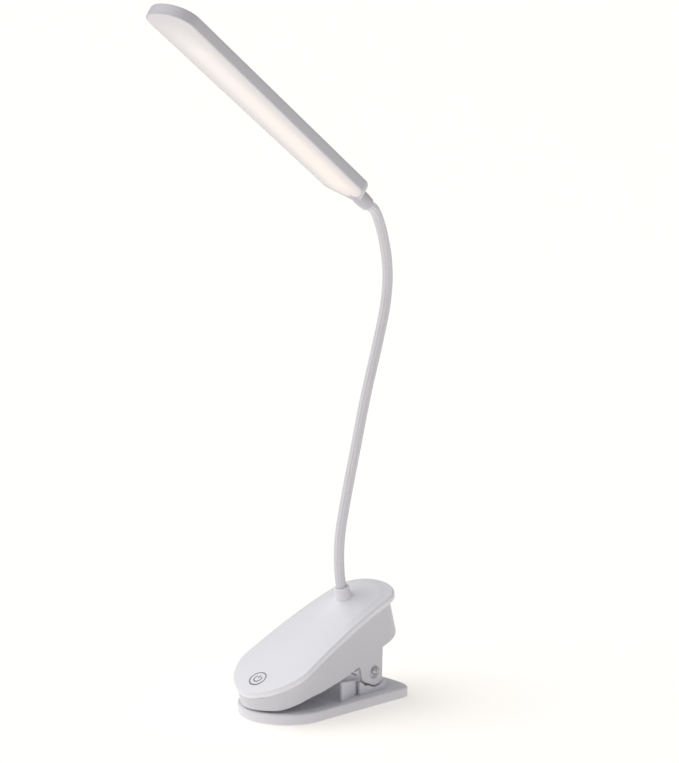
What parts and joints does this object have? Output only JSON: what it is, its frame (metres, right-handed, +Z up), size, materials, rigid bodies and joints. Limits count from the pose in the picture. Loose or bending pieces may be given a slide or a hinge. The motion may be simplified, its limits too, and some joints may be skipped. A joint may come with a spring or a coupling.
{
  "type": "clip reading lamp",
  "caption": "Rechargeable LED reading lamp: a sprung clip that also stands flat on a table, a flexible neck and a long flat light head with an opal diffuser.",
  "frame": {"origin": "centre of the underside of the clip's foot, where the lamp stands", "axes": "+Z up, -Y towards the front of the clip where the jaws open, X across"},
  "size_m": [0.06, 0.1855, 0.4327],
  "materials": {
    "white_abs": "satin moulded white",
    "white_cover": "satin moulded white",
    "head_abs": "satin moulded pale grey",
    "opal": "opal diffusing",
    "silicone": "soft matt",
    "neck_skin": "soft ribbed",
    "plated_steel": "bright zinc plated",
    "spring_steel": "oiled",
    "copper_core": "coated flexible core",
    "cell_wrap": "shrink wrap",
    "board": "solder mask",
    "led_board": "white solder mask",
    "led": "phosphor"
  },
  "bodies": {
    "lower_jaw": {"lower_jaw": "white_abs", "foot_pad": "silicone", "lower_grip_pad": "silicone", "hinge_pin": "plated_steel", "torsion_spring": "spring_steel"},
    "clip": {"clip_housing": "white_abs", "top_cover": "white_cover", "upper_grip_pad": "silicone", "charge_port": "plated_steel", "cover_screw_1": "plated_steel", "cover_screw_2": "plated_steel", "cover_screw_3": "plated_steel", "cover_screw_4": "plated_steel", "battery_cell": "cell_wrap", "control_board": "board", "touch_sensor": "copper_core", "neck_nut": "plated_steel", "neck_root_sleeve": "neck_skin", "neck_root_core": "copper_core"},
    "neck_1": {"neck_sleeve_1": "neck_skin", "neck_core_1": "copper_core"},
    "neck_2": {"neck_sleeve_2": "neck_skin", "neck_core_2": "copper_core"},
    "neck_3": {"neck_sleeve_3": "neck_skin", "neck_core_3": "copper_core"},
    "neck_4": {"neck_sleeve_4": "neck_skin", "neck_core_4": "copper_core"},
    "head": {"head_shell": "head_abs", "diffuser": "opal", "led_board": "led_board", "led_chip_01": "led", "led_chip_02": "led", "led_chip_03": "led", "led_chip_04": "led", "led_chip_05": "led", "led_chip_06": "led", "led_chip_07": "led", "led_chip_08": "led", "led_chip_09": "led", "led_chip_10": "led", "led_chip_11": "led", "led_chip_12": "led", "neck_end_sleeve": "neck_skin", "neck_end_core": "copper_core"}
  },
  "joints": [
    {"name": "clip_hinge", "type": "hinge", "parent": "lower_jaw", "child": "clip", "pos_m": [0, 0.0284, 0.0195], "axis": [-1, 0, 0], "range_deg": [0, 22], "stiffness_Nm_per_rad": 0.8, "springref_deg": -45.84, "deforming": ["torsion_spring"]},
    {"name": "neck_root_bend", "type": "hinge", "parent": "clip", "child": "neck_1", "pos_m": [0, 0.01974, 0.07771], "axis": [1, 0, 0], "range_deg": [-35, 35]},
    {"name": "neck_low_sway", "type": "hinge", "parent": "neck_1", "child": "neck_2", "pos_m": [0, 0.02695, 0.13235], "axis": [0, 0.9654, -0.2606], "range_deg": [-35, 35]},
    {"name": "neck_middle_bend", "type": "hinge", "parent": "neck_2", "child": "neck_3", "pos_m": [0, 0.04167, 0.18588], "axis": [1, 0, 0], "range_deg": [-35, 35]},
    {"name": "neck_high_sway", "type": "hinge", "parent": "neck_3", "child": "neck_4", "pos_m": [0, 0.05798, 0.23892], "axis": [0, 0.9791, -0.2034], "range_deg": [-35, 35]},
    {"name": "head_tilt", "type": "hinge", "parent": "neck_4", "child": "head", "pos_m": [0, 0.05241, 0.29319], "axis": [1, 0, 0], "range_deg": [-35, 35]}
  ]
}
